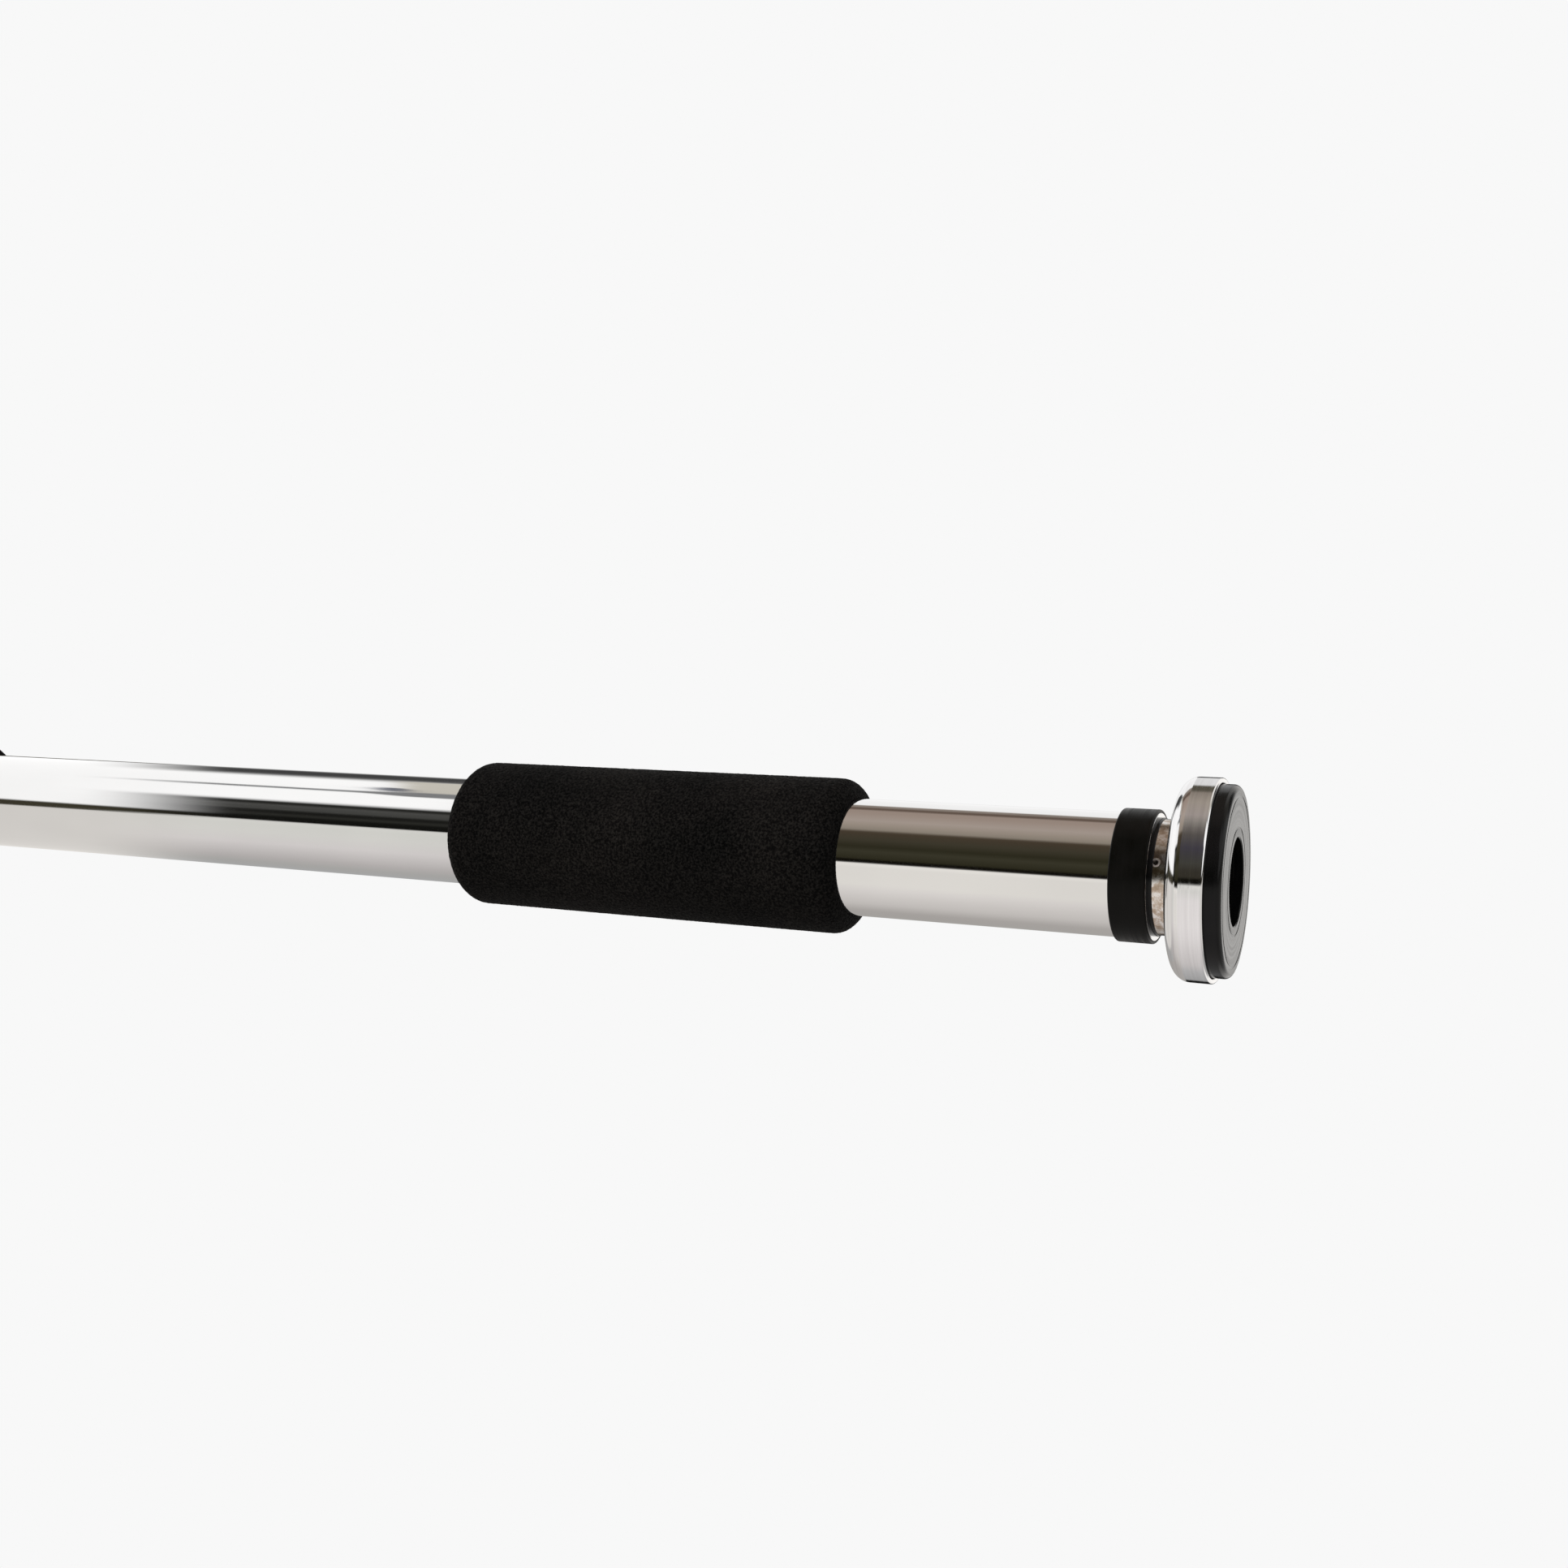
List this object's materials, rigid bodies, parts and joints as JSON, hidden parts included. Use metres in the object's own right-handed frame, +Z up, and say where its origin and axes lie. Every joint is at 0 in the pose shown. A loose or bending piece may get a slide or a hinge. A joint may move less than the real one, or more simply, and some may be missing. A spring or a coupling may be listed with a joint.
{
  "type": "pull up bar",
  "caption": "Telescoping doorway pull-up bar: chromed tube with foam grips, whose two ends screw out to press rubber-faced cups against the door jambs.",
  "frame": {"origin": "on the bar's axis, midway between the two rubber feet", "axes": "+X along the bar towards its right end, +Z up, and -Y towards the person who faces it"},
  "size_m": [0.664, 0.0516, 0.0516],
  "materials": {
    "chrome": "polished chrome plate on steel tube and sheet",
    "black_foam": "matt closed-cell foam rubber with a fine pebbled skin",
    "black_plastic": "satin black plastic",
    "black_rubber": "smooth moulded rubber",
    "zinc_steel": "bright zinc plate",
    "pin_steel": "plain spring steel",
    "black_steel": "black oxide",
    "nylon": "natural nylon"
  },
  "bodies": {
    "bar": {"main_tube": "chrome", "right_foam_grip": "black_foam", "right_end_collar": "black_plastic", "right_collar_ferrule": "chrome", "right_wiper_ring": "black_rubber", "right_spindle": "zinc_steel", "right_spindle_plug": "zinc_steel", "right_plug_pin": "pin_steel", "left_foam_grip": "black_foam", "left_end_collar": "black_plastic", "left_collar_ferrule": "chrome", "left_wiper_ring": "black_rubber", "left_spindle": "zinc_steel", "left_spindle_plug": "zinc_steel", "left_plug_pin": "pin_steel"},
    "right_glide": {"right_glide_ring": "nylon"},
    "right_foot": {"right_extension_tube": "chrome", "right_spindle_nut": "zinc_steel", "right_nut_pins": "pin_steel", "right_glide_circlip": "pin_steel", "right_cup_spigot": "zinc_steel", "right_cup_pins": "pin_steel", "right_foot_cup": "chrome", "right_rubber_foot": "black_rubber", "right_foot_washer": "black_steel", "right_foot_screw": "black_steel"},
    "left_glide": {"left_glide_ring": "nylon"},
    "left_foot": {"left_extension_tube": "chrome", "left_spindle_nut": "zinc_steel", "left_nut_pins": "pin_steel", "left_glide_circlip": "pin_steel", "left_cup_spigot": "zinc_steel", "left_cup_pins": "pin_steel", "left_foot_cup": "chrome", "left_rubber_foot": "black_rubber", "left_foot_washer": "black_steel", "left_foot_screw": "black_steel"}
  },
  "joints": [
    {"name": "right_extend", "type": "slide", "parent": "bar", "child": "right_glide", "axis": [1, 0, 0], "range_m": [0, 0.12]},
    {"name": "right_turn", "type": "hinge", "parent": "right_glide", "child": "right_foot", "pos_m": [0.3183, 0, 0], "axis": [1, 0, 0], "range_deg": [0, 10800]},
    {"name": "left_extend", "type": "slide", "parent": "bar", "child": "left_glide", "axis": [-1, 0, 0], "range_m": [0, 0.12]},
    {"name": "left_turn", "type": "hinge", "parent": "left_glide", "child": "left_foot", "pos_m": [-0.3183, 0, 0], "axis": [1, 0, 0], "range_deg": [0, 10800]}
  ],
  "couplings": [
    {"joint": "right_extend", "follows": "right_turn", "m_per_rad": 0.00063662},
    {"joint": "left_extend", "follows": "left_turn", "m_per_rad": 0.00063662}
  ]
}
